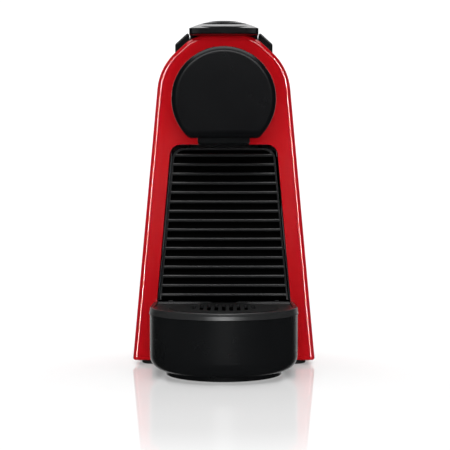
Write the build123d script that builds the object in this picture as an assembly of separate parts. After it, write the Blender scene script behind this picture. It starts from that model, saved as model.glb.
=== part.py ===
"""Pod coffee machine: red shell, front head, toggle brew unit, drip unit, capsule container and water tank.

Millimetres. +Z is up, the front faces -Y, and the origin is on the resting plane, at the middle of the
overall box. Each function returns one sub-part in its place.
"""
from build123d import *
from math import atan2, cos, degrees, hypot, radians, sin, sqrt
import os

# ---------------------------------------------------------------- driving dimensions
TOTAL_DEPTH = 325.0
TOTAL_HEIGHT = 206.0
BASE_WIDTH = 110.0
FRONT = -88.5              # plane of the red front face
SHELL_BACK = 80.0          # rear edge of the red shell
BACK = TOTAL_DEPTH / 2     # rear of the water tank
WALL = 2.5                 # shell wall
GAP = 0.3                  # air between bodies that pass each other
FIT = 0.05                 # radial clearance of a running fit

# shell outline, seen from the front
SHELL_FOOT_Z = 2.5
SHELL_TOP_Z = 198.6
SHOULDER_LOW = (38.9, 179.3)
SHOULDER_HIGH_X = 17.8
FOOT_RADIUS = 1.5
SHOULDER_LOW_RADIUS = 34.0
SHOULDER_HIGH_RADIUS = 20.0
FRONT_EDGE_RADIUS = 3.0
PLATE_FOOT_Z = SHELL_FOOT_Z - 0.2
PLATE_TOP_Z = SHELL_FOOT_Z + 2.8
INSIDE_FOOT_Z = PLATE_TOP_Z + 0.1

# recess in the front face
RECESS_TOP_Z = 132.6
RECESS_TOP_HALF = 31.9
RECESS_FOOT_HALF = 43.5
RECESS_RADIUS = 6.5

# head
HEAD_Z = 155.4
HEAD_RADIUS = 29.3
HEAD_FLAT_Z = 133.9
HEAD_REACH = 45.0
HEAD_COVER_DEPTH = 12.0
HOUSING_FLAT_Z = HEAD_FLAT_Z + 2.8
HEAD_RIM_RADIUS = 3.6
HEAD_CORNER_RADIUS = 4.0
NECK_RADIUS = 26.5
PLATE_SEAT_RADIUS = 18.0
OUTLET_HALF = 14.8
OUTLET_FOOT_Z = 130.8
OUTLET_Y = FRONT - 25.0

# drip unit
TRAY_RADIUS = 42.5
TRAY_CENTRE_Y = -BACK + TRAY_RADIUS
TRAY_REAR_Y = FRONT - 0.6
TRAY_TOP_Z = 38.3
PLATE_THICK = 3.9
TRAY_FLOOR_Z = 3.2
TRAY_BELLY_RADIUS = 8.0
BUCKET_INSET = 0.4
RIM_STEP = 0.5             # the plate's rim slopes out by this over its lower part
RIM_SKIRT = 2.0
TRAY_CORNER = 4.0
RING_FOOT_Z = 0.5
RING_INSET = 9.5
TONGUE_HALF = 33.0
TONGUE_REAR_Y = -26.0
GRID_RADIUS = 31.0
GRID_SLOT_REACH = 19.0

# capsule container
BOX_FOOT_Z = TRAY_TOP_Z + 0.8
BOX_RIM_Z = 107.4
BOX_TOP_GAP = 2.2          # the front stays below the coffee outlet
BOX_FRONT_Y = FRONT + 5.6
BOX_BACK_Y = -26.0
BOX_GAP = 1.4              # between the ribbed front and the edge of the recess
RIB_COUNT = 16
RIB_FIRST_Z = 42.1
RIB_PITCH = 5.61
RIB_THICK = 1.8
RIB_DEPTH = 4.4
RIB_NOSE = 0.7
RIM_DEPTH = 3.6            # thin frame round the ribs

# lever and brew unit
AXLE_Y = 4.0
AXLE_Z = 176.0
AXLE_RADIUS = 3.0
CRANK = 16.0
LINK = 36.0
CAGE_AXIS_Z = HEAD_Z
LINK_LINE_Z = 158.0
PIN_RADIUS = 2.2
ARM_IN = 11.0
ARM_OUT = 14.5
LINK_IN = 15.0
LINK_OUT = 18.0
LEVER_HALF = 20.6
LEVER_FOOT_Z = SHELL_TOP_Z + 0.4
LEVER_FRONT_Y = FRONT - 8.5
LEVER_BOW = 2.0            # how far the middle of the lip stands before its ends
LEVER_LIP_FOOT_Z = 197.5
LEVER_LIP_Z = 201.3
LEVER_FACE_Y = -93.3       # foot of the steep face above the lip
LEVER_FACE_RUN = 0.6
LEVER_FACE_RISE = 3.75
LEVER_CREST_Y = -91.6
LIP_RADIUS = 0.8
DISH_DEPTH = 0.22
DISH_LENGTH = 30.0
DISH_TUBE = 8.0
LEVER_SPLIT_RADIUS = 36.6  # about the axle, between the lever and the strip behind it
LEVER_END_Y = -22.0
TOP_SLOT_HALF = 19.5
TOP_SLOT_FRONT = FRONT + 8.5
TOP_SLOT_BACK = 30.0
STRIP_TOP_Z = 202.7
STRIP_HALF = TOP_SLOT_HALF + 0.9
STRIP_CROWN = 2.6
CAGE_FRONT_Y = -82.0
CAGE_REAR_Y = -50.0
CAGE_RADIUS = 20.5
CAPSULE_RADIUS = 17.4
PIN_WINDOW_FRONT = 9.0     # room for the link pins, measured from their rest line
PIN_WINDOW_REAR = 4.0
FRAME_IN = 24.0
FRAME_OUT = 27.0
FRAME_FOOT_Z = 133.0
FRAME_TOP_Z = 181.5
FRAME_BACK_Y = 14.0
FEED_RADIUS = 3.0

# buttons
FUNNEL_EAR_Y = -57.0       # behind it the funnel's sides are lower, for the lever's arms
BUTTON_IN = 20.95
BUTTON_OUT = 29.4
BUTTON_FRONT_Y = FRONT + 3.4
BUTTON_BACK_Y = BUTTON_FRONT_Y + 28.0
BUTTON_PROUD = 5.3
BUTTON_TRAVEL = 1.5
BUTTON_MIDDLE_Y = (BUTTON_FRONT_Y + BUTTON_BACK_Y) / 2
BUTTON_STEM_X = (BUTTON_IN + BUTTON_OUT) / 2 + 0.6
SWITCH_TOP_Z = 174.0
SPRING_FOOT_Z = SWITCH_TOP_Z + 1.0
BUTTON_BOARD_Z = SWITCH_TOP_Z - 4.6
BOARD_THICK = 1.58

# water tank
TANK_FRONT_Y = SHELL_BACK + 0.8
SEAT_Z = 17.0
SHELF_WALL = 3.0
TANK_FOOT_Z = SEAT_Z + 0.4
TANK_RIM_Z = 187.0
TANK_WALL = 2.2
TANK_CORNER = 22.0
LID_FOOT_Z = TANK_RIM_Z + GAP
VALVE_Y = 104.0
VALVE_NECK_RADIUS = 8.0
SOCKET_RADIUS = 11.0
FEED_Z = SEAT_Z - 6.4      # height of the line from the tank socket
GLAND_X = -30.0
GLAND_Z = 10.2
CORD_RADIUS = 3.3

# screws and feet
SCREW_RADIUS = 1.6
SCREW_SINK = 1.2           # depth of the screw heads' seat in the base plate
SCREW_PLACES = [(-44, -60), (44, -60), (-44, 66), (44, 66)]
FRAME_SCREW_X = 31.5
FRAME_SCREW_Y = -14.0
FOOT_PLACES = [(-43, -78), (43, -78), (-38, 140), (38, 140)]
FOOT_RUBBER_RADIUS = 7.0

# inside
PUMP_X = 17.0
PUMP_Z = 32.0
PUMP_RADIUS = 11.0
PUMP_MOUNT_FRONT = -9.8
PUMP_MOUNT_BACK = 66.0
METER_X = -23.0
METER_Y = 8.0
METER_Z = 14.0
HEATER_X = -14.0
HEATER_Y = 48.0
HEATER_FOOT_Z = 82.0
HEATER_TOP_Z = 150.0
BOARD_X = 38.0
HOSE_RADIUS = 3.0
HOSE_WALL = 1.2

# toggle linkage at rest, found from the dimensions above
CRANK_ANGLE = atan2(AXLE_Z - LINK_LINE_Z, sqrt((CRANK + LINK) ** 2 - (AXLE_Z - LINK_LINE_Z) ** 2))
CRANK_PIN = (AXLE_Y - CRANK * cos(CRANK_ANGLE), AXLE_Z - CRANK * sin(CRANK_ANGLE))
CAGE_PIN = (AXLE_Y - (CRANK + LINK) * cos(CRANK_ANGLE), LINK_LINE_Z)


# ---------------------------------------------------------------- helpers
def box(x0, x1, y0, y1, z0, z1):
    return Pos((x0 + x1) / 2, (y0 + y1) / 2, (z0 + z1) / 2) * Box(x1 - x0, y1 - y0, z1 - z0)


def rod_x(radius, x0, x1, y, z):
    return Pos((x0 + x1) / 2, y, z) * Rot(0, 90, 0) * Cylinder(radius, x1 - x0)


def rod_y(radius, y0, y1, x=0.0, z=0.0):
    return Pos(x, (y0 + y1) / 2, z) * Rot(90, 0, 0) * Cylinder(radius, y1 - y0)


def rod_z(radius, z0, z1, x=0.0, y=0.0):
    return Pos(x, y, (z0 + z1) / 2) * Cylinder(radius, z1 - z0)


def along_x(face, x0, x1):
    return extrude(Plane.YZ.offset(x0) * face, amount=x1 - x0)


def along_y(face, y0, y1):
    return extrude(Plane.XZ.offset(-y1) * face, amount=y1 - y0)


def along_z(face, z0, z1):
    return extrude(Plane.XY.offset(z0) * face, amount=z1 - z0)


def outline(points, radii):
    return make_face(FilletPolyline(*points, radius=radii, close=True))


def both_sides(shape):
    return shape + mirror(shape, about=Plane.YZ)


def group(shapes):
    """Separate solids that share one node."""
    return Compound(children=[solid for shape in shapes for solid in shape.solids()])


def flank_x(z):
    """Half-width of the shell's straight side at a height."""
    foot = BASE_WIDTH / 2
    return foot + (SHOULDER_LOW[0] - foot) * (z - SHELL_FOOT_Z) / (SHOULDER_LOW[1] - SHELL_FOOT_Z)


def shoulder_z(x):
    """Height of the shoulder facet at a distance from the middle."""
    slope = (SHELL_TOP_Z - SHOULDER_LOW[1]) / (SHOULDER_LOW[0] - SHOULDER_HIGH_X)
    return SHOULDER_LOW[1] + (SHOULDER_LOW[0] - x) * slope


def body_face(inset=0.0):
    """The shell's outline, or the same outline moved inwards."""
    points = [
        (-BASE_WIDTH / 2, SHELL_FOOT_Z),
        (BASE_WIDTH / 2, SHELL_FOOT_Z),
        SHOULDER_LOW,
        (SHOULDER_HIGH_X, SHELL_TOP_Z),
        (-SHOULDER_HIGH_X, SHELL_TOP_Z),
        (-SHOULDER_LOW[0], SHOULDER_LOW[1]),
    ]
    radii = [FOOT_RADIUS, FOOT_RADIUS, SHOULDER_LOW_RADIUS, SHOULDER_HIGH_RADIUS,
             SHOULDER_HIGH_RADIUS, SHOULDER_LOW_RADIUS]
    face = outline(points, radii)
    return offset(face, amount=-inset, kind=Kind.INTERSECTION) if inset else face


def recess_face(inset=0.0, foot_z=-1.0, top_gap=0.0):
    """The tapered recess, or the same shape drawn in by a gap at the sides and one at the top."""
    taper = (RECESS_FOOT_HALF - RECESS_TOP_HALF) / (RECESS_TOP_Z - SHELL_FOOT_Z)
    foot = RECESS_TOP_HALF + (RECESS_TOP_Z - foot_z) * taper - inset
    top = RECESS_TOP_HALF - inset
    top_z = RECESS_TOP_Z - top_gap
    points = [(-foot, foot_z), (foot, foot_z), (top, top_z), (-top, top_z)]
    return outline(points, [0, 0, RECESS_RADIUS, RECESS_RADIUS])


def tray_face(inset=0.0, rear=TRAY_REAR_Y):
    """Straight sides and a round front, seen from above."""
    side = TRAY_RADIUS - inset
    front = TRAY_CENTRE_Y
    wire = Line((side, front), (side, rear - inset)) + Line((side, rear - inset), (-side, rear - inset))
    wire += Line((-side, rear - inset), (-side, front))
    wire += ThreePointArc((-side, front), (0, front - side), (side, front))
    return make_face(wire)


def tank_plan(inset=0.0):
    """Seen from above: flat against the shell, with large rear corners."""
    half = BASE_WIDTH / 2 + 1.0
    front = TANK_FRONT_Y + inset
    rear = BACK - inset
    points = [(-half, front), (half, front), (half, rear), (-half, rear)]
    return outline(points, [0, 0, TANK_CORNER - inset, TANK_CORNER - inset])


def tank_block(inset, z0, z1, shrink=0.4):
    """The body outline carried back over the tank, between two heights."""
    block = along_y(body_face(shrink + inset), TANK_FRONT_Y, BACK)
    # the plan trims the corners and the box trims the height
    return block & along_z(tank_plan(inset), z0, z1)


# ---------------------------------------------------------------- shell and covers
def main_shell():
    shell = along_y(body_face(), FRONT, SHELL_BACK)
    shell = fillet(shell.faces().sort_by(Axis.Y)[0].edges(), FRONT_EDGE_RADIUS)
    shell -= along_y(body_face(WALL), FRONT + WALL, SHELL_BACK + 1)
    inner = flank_x(SHELL_FOOT_Z) - WALL
    shell -= box(-inner, inner, FRONT + WALL, SHELL_BACK + 1, 0, SHELL_FOOT_Z + 2 * WALL)
    shell -= along_y(recess_face(), FRONT - 1, FRONT + 2 * WALL)
    shell -= head_disc(NECK_RADIUS + GAP, FRONT - 1, FRONT + 2 * WALL, HOUSING_FLAT_Z - GAP)
    shell -= box(-TOP_SLOT_HALF, TOP_SLOT_HALF, TOP_SLOT_FRONT, TOP_SLOT_BACK,
                 SHELL_TOP_Z - 12, SHELL_TOP_Z + 1)
    opening = box(BUTTON_IN - GAP, BUTTON_OUT + GAP, BUTTON_FRONT_Y - GAP, BUTTON_BACK_Y + GAP,
                  shoulder_z(BUTTON_OUT) - 12, SHELL_TOP_Z)
    return shell - both_sides(opening)


def base_plate():
    half = BASE_WIDTH / 2 - WALL - 0.4
    front = FRONT + WALL + 0.4
    rear = BACK - 3.0
    corners = [(-half, front), (half, front), (half, rear), (-half, rear)]
    plate = along_z(outline(corners, [2, 2, TANK_CORNER, TANK_CORNER]), PLATE_FOOT_Z, PLATE_TOP_Z)
    for x, y in SCREW_PLACES:
        plate -= rod_z(4.6, 0, SHELL_FOOT_Z + SCREW_SINK, x, y)
        plate -= rod_z(1.9, 0, PLATE_TOP_Z + 1, x, y)
    posts = box(29.0, 35.0, FRAME_SCREW_Y - 4, FRAME_SCREW_Y + 4, PLATE_TOP_Z, FRAME_FOOT_Z)
    posts += box(27.4, 35.0, FRAME_SCREW_Y - 4, FRAME_SCREW_Y + 4, FRAME_FOOT_Z - 14.0, FRAME_FOOT_Z)
    posts -= rod_z(SCREW_RADIUS, FRAME_FOOT_Z - 12.0, FRAME_FOOT_Z + 1, FRAME_SCREW_X, FRAME_SCREW_Y)
    for y in (PUMP_MOUNT_FRONT, PUMP_MOUNT_BACK):
        plate += box(PUMP_X - 10, PUMP_X + 10, y - 2.0, y + 2.0, PLATE_TOP_Z, PUMP_Z - 8)
    return plate + both_sides(posts)


def feet():
    pads = []
    for x, y in FOOT_PLACES:
        pad = rod_z(FOOT_RUBBER_RADIUS, 0, PLATE_FOOT_Z, x, y)
        pads.append(fillet(pad.faces().sort_by(Axis.Z)[0].edges(), 0.8))
    return group(pads)


def screw(x, y, z, length, head_up=False):
    """A pan-head screw with a cross recess; z is under the head."""
    head = rod_z(3.2, 0, 2.2) + rod_z(SCREW_RADIUS, -length, 0)
    head -= box(-2.2, 2.2, -0.4, 0.4, 1.2, 3)
    head -= box(-0.4, 0.4, -2.2, 2.2, 1.2, 3)
    turned = head if head_up else Rot(180, 0, 0) * head
    return Pos(x, y, z) * turned


def base_screws():
    return group(screw(x, y, SHELL_FOOT_Z + SCREW_SINK, 9.0) for x, y in SCREW_PLACES)


def frame_screws():
    top = FRAME_FOOT_Z + 3.0
    return group(screw(side * FRAME_SCREW_X, FRAME_SCREW_Y, top, 10.0, True) for side in (-1, 1))


def rear_cover():
    """Closes the shell behind."""
    wall = along_y(body_face(WALL + 0.3), SHELL_BACK - 3.0, SHELL_BACK)
    wall = wall & box(-60, 60, 70, 90, INSIDE_FOOT_Z, SHELL_TOP_Z)
    wall -= rod_y(4.2, SHELL_BACK - 10, SHELL_BACK + 5, GLAND_X, GLAND_Z)
    return wall - rod_y(HOSE_RADIUS + 0.2, SHELL_BACK - 10, SHELL_BACK + 5, 0, FEED_Z)


def tank_shelf():
    """Carries the tank on a deck; the cord runs under the deck to a notch behind."""
    shelf = tank_block(0.6, INSIDE_FOOT_Z, SEAT_Z)
    shelf -= tank_block(SHELF_WALL, SHELL_FOOT_Z, SEAT_Z - SHELF_WALL)
    front = SHELL_BACK + 0.02
    shelf += box(-48, 48, front, TANK_FRONT_Y + 5.0, SEAT_Z - SHELF_WALL, SEAT_Z)
    shelf -= rod_z(SOCKET_RADIUS + 0.1, 0, 40, 0, VALVE_Y)
    shelf -= box(GLAND_X - 6, GLAND_X + 6, front - 1, TANK_FRONT_Y + 6.0, 0, SEAT_Z - SHELF_WALL + 0.8)
    shelf -= box(-5.0, 5.0, front - 1, TANK_FRONT_Y + 4.0, 0, SEAT_Z - SHELF_WALL + 0.2)
    return shelf - box(GLAND_X - 6, GLAND_X + 6, BACK - 12, BACK + 1, 0, SEAT_Z - SHELF_WALL - 0.4)


def cord_gland():
    gland = rod_y(4.7, SHELL_BACK - 5.0, SHELL_BACK - 3.02, GLAND_X, GLAND_Z)
    gland += rod_y(4.15, SHELL_BACK - 5.0, SHELL_BACK + 3.0, GLAND_X, GLAND_Z)
    return gland - rod_y(CORD_RADIUS, SHELL_BACK - 6.0, SHELL_BACK + 4.0, GLAND_X, GLAND_Z)


def top_cover():
    """Black strip behind the lever, with a slot for each lever arm and a hollow over the links."""
    edge = STRIP_TOP_Z - STRIP_CROWN
    face = make_face(Line((-STRIP_HALF, SHELL_TOP_Z), (STRIP_HALF, SHELL_TOP_Z))
                     + Line((STRIP_HALF, SHELL_TOP_Z), (STRIP_HALF, edge))
                     + ThreePointArc((STRIP_HALF, edge), (0, STRIP_TOP_Z), (-STRIP_HALF, edge))
                     + Line((-STRIP_HALF, edge), (-STRIP_HALF, SHELL_TOP_Z)))
    front = LEVER_END_Y - 8.0
    strip = along_y(face, front, SHELL_BACK)
    strip = fillet(strip.faces().sort_by(Axis.Y)[-1].edges().group_by(Axis.Z)[-1], 2.0)
    inner = TOP_SLOT_HALF - 0.2
    strip += box(-inner, inner, LEVER_END_Y + 1.0, TOP_SLOT_BACK - 0.2,
                 SHELL_TOP_Z - 6.0, SHELL_TOP_Z + 0.2)
    # the front end is round about the axle, so that the lever turns past it
    strip &= rod_x(LEVER_SPLIT_RADIUS - GAP, -30, 30, AXLE_Y, AXLE_Z) + box(-30, 30, AXLE_Y, BACK, 150, 210)
    slot = box(ARM_IN - 0.4, ARM_OUT + 0.4, front - 1, TOP_SLOT_BACK - 3.0, SHELL_TOP_Z - 10, TOTAL_HEIGHT)
    room = LINK_OUT + 0.5
    hollow = box(-room, room, LEVER_END_Y - 4.0, TOP_SLOT_BACK - 1.8, SHELL_TOP_Z - 10, SHELL_TOP_Z - 2.6)
    return strip - both_sides(slot) - hollow


def capsule_funnel():
    outer = box(-TOP_SLOT_HALF + 0.2, TOP_SLOT_HALF - 0.2, TOP_SLOT_FRONT + 0.2, CAGE_REAR_Y + 2.0,
                CAGE_AXIS_Z + CAGE_RADIUS + 1.0, SHELL_TOP_Z - 2.0)
    outer += box(-TOP_SLOT_HALF + 0.2, TOP_SLOT_HALF - 0.2, TOP_SLOT_FRONT + 0.2, FUNNEL_EAR_Y,
                 SHELL_TOP_Z - 3.0, SHELL_TOP_Z - 0.3)
    flange = box(TOP_SLOT_HALF - 0.5, BUTTON_IN - 0.35, TOP_SLOT_FRONT + 0.2, FUNNEL_EAR_Y,
                 SHELL_TOP_Z - 6.0, SHELL_TOP_Z - 0.3)
    flange -= along_y(body_face(-0.05), FRONT, 0)
    hole = box(-TOP_SLOT_HALF + 1.2, TOP_SLOT_HALF - 1.2, TOP_SLOT_FRONT + 1.4, CAGE_REAR_Y + 0.6, 150, 200)
    return outer + both_sides(flange) - hole


# ---------------------------------------------------------------- head
def head_disc(radius, y0, y1, flat_z):
    disc = rod_y(radius, y0, y1, 0, HEAD_Z)
    return disc - box(-40, 40, y0 - 1, y1 + 1, HEAD_Z - 40, flat_z)


def head_cover():
    front = FRONT - HEAD_REACH
    skin = 2.4
    cover = head_disc(HEAD_RADIUS, front, front + HEAD_COVER_DEPTH, HEAD_FLAT_Z)
    cover = fillet(cover.edges().filter_by(Axis.Y), HEAD_CORNER_RADIUS)
    cover = fillet(cover.faces().sort_by(Axis.Y)[0].edges(), HEAD_RIM_RADIUS)
    return cover - head_disc(HEAD_RADIUS - skin, front + skin + 0.2, front + 20, HEAD_FLAT_Z + skin)


def head_housing():
    front = FRONT - HEAD_REACH + HEAD_COVER_DEPTH + 0.2
    housing = head_disc(HEAD_RADIUS - 0.8, front, FRONT - 0.2, HOUSING_FLAT_Z)
    housing = fillet(housing.edges().filter_by(Axis.Y), HEAD_CORNER_RADIUS)
    housing += head_disc(HEAD_RADIUS - 2.7, front - 6.0, front, HOUSING_FLAT_Z)
    housing += head_disc(NECK_RADIUS, FRONT - 0.2, FRONT + 3.6, HOUSING_FLAT_Z)
    housing -= head_disc(HEAD_RADIUS - 5.4, front - 10, FRONT - 4.0, HEAD_FLAT_Z + 6.6)
    housing -= rod_y(PLATE_SEAT_RADIUS, FRONT - 10.0, FRONT + 5.0, 0, HEAD_Z)
    duct = OUTLET_HALF - 2.0
    return housing - box(-duct, duct, OUTLET_Y - 7.8, OUTLET_Y + 7.8, 120, HEAD_FLAT_Z + 8)


def coffee_outlet():
    """Block under the head with one spout, and the duct that feeds it."""
    half = OUTLET_HALF
    front = OUTLET_Y - 13.0
    rear = OUTLET_Y + 13.0
    cover_end = FRONT - HEAD_REACH + HEAD_COVER_DEPTH + 0.2
    block = box(-half, half, front, rear, OUTLET_FOOT_Z, HEAD_FLAT_Z - 0.2)
    block = fillet(block.edges().filter_by(Axis.Z), 2.0)
    block = fillet(block.faces().sort_by(Axis.Z)[0].edges(), 1.0)
    block += box(-half + 0.8, half - 0.8, cover_end, rear - 0.8, HEAD_FLAT_Z - 1.0, HOUSING_FLAT_Z - 0.2)
    duct = half - 2.3
    block += box(-duct, duct, OUTLET_Y - 7.5, OUTLET_Y + 7.5, HEAD_FLAT_Z - 1.0, HEAD_FLAT_Z + 7.0)
    channel = half - 4.3
    block -= box(-channel, channel, OUTLET_Y - 5.5, OUTLET_Y + 5.5, HEAD_FLAT_Z + 1.0, HEAD_FLAT_Z + 8.0)
    return block - rod_z(2.8, OUTLET_FOOT_Z - 1, HEAD_FLAT_Z + 2, 0, OUTLET_Y)


# ---------------------------------------------------------------- lever and brew unit
def lever_crown():
    """The handle seen from the front: a shallow arc over straight ends."""
    return make_face(
        Line((-LEVER_HALF, LEVER_LIP_FOOT_Z), (LEVER_HALF, LEVER_LIP_FOOT_Z))
        + Line((LEVER_HALF, LEVER_LIP_FOOT_Z), (LEVER_HALF, LEVER_LIP_Z))
        + ThreePointArc((LEVER_HALF, LEVER_LIP_Z), (0, TOTAL_HEIGHT), (-LEVER_HALF, LEVER_LIP_Z))
        + Line((-LEVER_HALF, LEVER_LIP_Z), (-LEVER_HALF, LEVER_LIP_FOOT_Z)))


def lever_profile():
    """The handle from the side: a lip that hangs over the shell, a steep face, a crest and the back."""
    inner = FRONT - 1.0
    crest_foot = (LEVER_FACE_Y + LEVER_FACE_RUN, LEVER_LIP_Z + LEVER_FACE_RISE)
    wire = Line((LEVER_FRONT_Y, LEVER_LIP_FOOT_Z), (inner, LEVER_LIP_FOOT_Z))
    wire += Line((inner, LEVER_LIP_FOOT_Z), (inner, LEVER_FOOT_Z))
    wire += Line((inner, LEVER_FOOT_Z), (LEVER_END_Y, LEVER_FOOT_Z))
    wire += Line((LEVER_END_Y, LEVER_FOOT_Z), (LEVER_END_Y, STRIP_TOP_Z + 0.6))
    wire += ThreePointArc((LEVER_END_Y, STRIP_TOP_Z + 0.6), (-56.0, 205.5), (LEVER_CREST_Y, TOTAL_HEIGHT))
    crest = (LEVER_CREST_Y, TOTAL_HEIGHT)
    wire += ThreePointArc(crest, (LEVER_CREST_Y - 0.78, TOTAL_HEIGHT - 0.32), crest_foot)
    wire += Line(crest_foot, (LEVER_FACE_Y, LEVER_LIP_Z))
    wire += Line((LEVER_FACE_Y, LEVER_LIP_Z), (LEVER_FRONT_Y, LEVER_LIP_Z - 0.3))
    return make_face(wire + Line((LEVER_FRONT_Y, LEVER_LIP_Z - 0.3), (LEVER_FRONT_Y, LEVER_LIP_FOOT_Z)))


def lever_plan():
    """The handle from above: a front that bows forwards, straight sides and a straight rear."""
    end = LEVER_FRONT_Y + LEVER_BOW
    wire = ThreePointArc((-LEVER_HALF, end), (0, LEVER_FRONT_Y), (LEVER_HALF, end))
    wire += Line((LEVER_HALF, end), (LEVER_HALF, LEVER_END_Y)) + Line((LEVER_HALF, LEVER_END_Y),
                                                                      (-LEVER_HALF, LEVER_END_Y))
    block = along_z(make_face(wire + Line((-LEVER_HALF, LEVER_END_Y), (-LEVER_HALF, end))),
                    LEVER_LIP_FOOT_Z - 1, TOTAL_HEIGHT + 1)
    return fillet(block.edges().filter_by(Axis.Z).group_by(Axis.Y)[0], 2.4)


def thumb_dish():
    """Shallow lens-shaped hollow in the steep face, part of a wide ring."""
    slope = atan2(LEVER_FACE_RISE, LEVER_FACE_RUN)
    middle_y = LEVER_FACE_Y + 0.5 * LEVER_FACE_RUN
    middle_z = LEVER_LIP_Z + 0.5 * LEVER_FACE_RISE
    ring = DISH_LENGTH ** 2 / (8 * DISH_DEPTH)
    lift = ring + DISH_TUBE - DISH_DEPTH
    centre = (0, middle_y - lift * sin(slope), middle_z + lift * cos(slope))
    dish = Plane(origin=centre, x_dir=(1, 0, 0), z_dir=(0, cos(slope), sin(slope))) * Torus(ring, DISH_TUBE)
    return dish & box(-LEVER_HALF, LEVER_HALF, LEVER_FRONT_Y, FRONT, LEVER_LIP_Z, TOTAL_HEIGHT)


def lever():
    """Handle and two arms; each arm carries the crank below the axle."""
    handle = along_y(lever_crown(), LEVER_FRONT_Y, LEVER_END_Y)
    handle &= along_x(lever_profile(), -LEVER_HALF - 1, LEVER_HALF + 1)
    handle &= lever_plan()
    lip = [edge for edge in handle.edges().filter_by(Axis.Z, reverse=True)
           if edge.center().Y < LEVER_FACE_Y - 0.6 and edge.center().Z < LEVER_LIP_FOOT_Z + 1.0]
    handle = fillet(lip, LIP_RADIUS)
    handle -= thumb_dish()
    skin = 2.2
    handle -= box(-LEVER_HALF + skin, LEVER_HALF - skin, FRONT + 2.0, LEVER_END_Y - 9.0,
                  190, LEVER_FOOT_Z + 1.4)
    handle -= rod_x(LEVER_SPLIT_RADIUS, -30, 30, AXLE_Y, AXLE_Z)
    web = outline([(-56.0, LEVER_FOOT_Z + 2.0), (-27.0, LEVER_FOOT_Z + 2.0),
                   (LEVER_END_Y - 0.2, LEVER_FOOT_Z - 1.0), (AXLE_Y, AXLE_Z + 8.0), (AXLE_Y, AXLE_Z),
                   (AXLE_Y - 9.0, AXLE_Z - 2.0), (-32.0, 188.0)], [0, 0, 0, 0, 0, 0, 8.0])
    arm = along_x(web, ARM_IN, ARM_OUT)
    arm += rod_x(8.0, ARM_IN, ARM_OUT, AXLE_Y, AXLE_Z)
    arm += rod_x(5.0, ARM_IN, ARM_OUT, CRANK_PIN[0], CRANK_PIN[1])
    neck = outline([(AXLE_Y, AXLE_Z - 6.0), (AXLE_Y, AXLE_Z + 6.0), (CRANK_PIN[0], CRANK_PIN[1] + 4.4),
                    (CRANK_PIN[0], CRANK_PIN[1] - 4.6)], [0, 0, 0, 0])
    arm += along_x(neck, ARM_IN, ARM_OUT)
    arm -= rod_x(AXLE_RADIUS + FIT, 0, 30, AXLE_Y, AXLE_Z)
    arm -= rod_x(PIN_RADIUS + 0.02, 0, 30, CRANK_PIN[0], CRANK_PIN[1])
    return handle + both_sides(arm)


def lever_axle():
    return rod_x(AXLE_RADIUS, -FRAME_OUT, FRAME_OUT, AXLE_Y, AXLE_Z)


def crank_pin():
    return rod_x(PIN_RADIUS, -LINK_OUT, LINK_OUT, CRANK_PIN[0], CRANK_PIN[1])


def toggle_links():
    links = []
    for side in (-1, 1):
        x0, x1 = sorted((side * LINK_IN, side * LINK_OUT))
        link = rod_x(4.2, x0, x1, *CRANK_PIN) + rod_x(4.2, x0, x1, *CAGE_PIN)
        length = hypot(CRANK_PIN[0] - CAGE_PIN[0], CRANK_PIN[1] - CAGE_PIN[1])
        middle = ((CRANK_PIN[0] + CAGE_PIN[0]) / 2, (CRANK_PIN[1] + CAGE_PIN[1]) / 2)
        bar = Pos((x0 + x1) / 2, *middle) * Rot(degrees(CRANK_ANGLE), 0, 0) * Box(x1 - x0, length, 6.4)
        link += bar
        link -= rod_x(PIN_RADIUS + FIT, -30, 30, *CRANK_PIN)
        link -= rod_x(PIN_RADIUS, -30, 30, *CAGE_PIN)
        links.append(link)
    return group(links)


def link_pins():
    end = LINK_OUT + 3.4
    return group(rod_x(PIN_RADIUS, *sorted((side * LINK_IN, side * end)), *CAGE_PIN) for side in (-1, 1))


def capsule_cage():
    """Cup that holds the capsule, with a yoke behind it; the windows leave the link pins free."""
    cup = rod_y(CAGE_RADIUS, CAGE_FRONT_Y, CAGE_REAR_Y, 0, CAGE_AXIS_Z)
    bore = Pos(0, (CAGE_FRONT_Y + CAGE_REAR_Y) / 2 - 2.0, CAGE_AXIS_Z) * Rot(-90, 0, 0) * Cone(
        CAPSULE_RADIUS, CAPSULE_RADIUS - 3.4, CAGE_REAR_Y - CAGE_FRONT_Y - 4.0 + 0.02)
    cup -= bore
    nipple = rod_y(5.0, CAGE_REAR_Y - 0.5, CAGE_REAR_Y + 34.0, 0, CAGE_AXIS_Z)
    ear = box(LINK_OUT + GAP, LINK_OUT + 3.4, CAGE_REAR_Y - 4.0, CAGE_PIN[0] + 8.0, LINK_LINE_Z - 11.0,
              LINK_LINE_Z + 8.0)
    window = box(LINK_IN - GAP, 40, CAGE_PIN[0] - PIN_WINDOW_FRONT, CAGE_PIN[0] + PIN_WINDOW_REAR,
                 LINK_LINE_Z - 3.4, LINK_LINE_Z + 3.0)
    window = fillet(window.edges().filter_by(Axis.X), 2.6)
    pocket = box(LINK_IN - GAP, LINK_OUT + GAP, CAGE_PIN[0] - 12.0, CAGE_PIN[0],
                 LINK_LINE_Z - 5.4, LINK_LINE_Z + 5.4)
    runner = box(CAGE_RADIUS - 3.0, FRAME_IN - GAP, CAGE_FRONT_Y + 8.0, CAGE_REAR_Y, CAGE_AXIS_Z - 2.4,
                 CAGE_AXIS_Z + 2.4) - rod_y(CAGE_RADIUS - 1.0, -90, 0, 0, CAGE_AXIS_Z)
    cage = cup + nipple + both_sides(ear + runner) - both_sides(pocket + window)
    return cage - rod_y(FEED_RADIUS + FIT, CAGE_REAR_Y - 5.0, CAGE_REAR_Y + 40.0, 0, CAGE_AXIS_Z)


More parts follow.
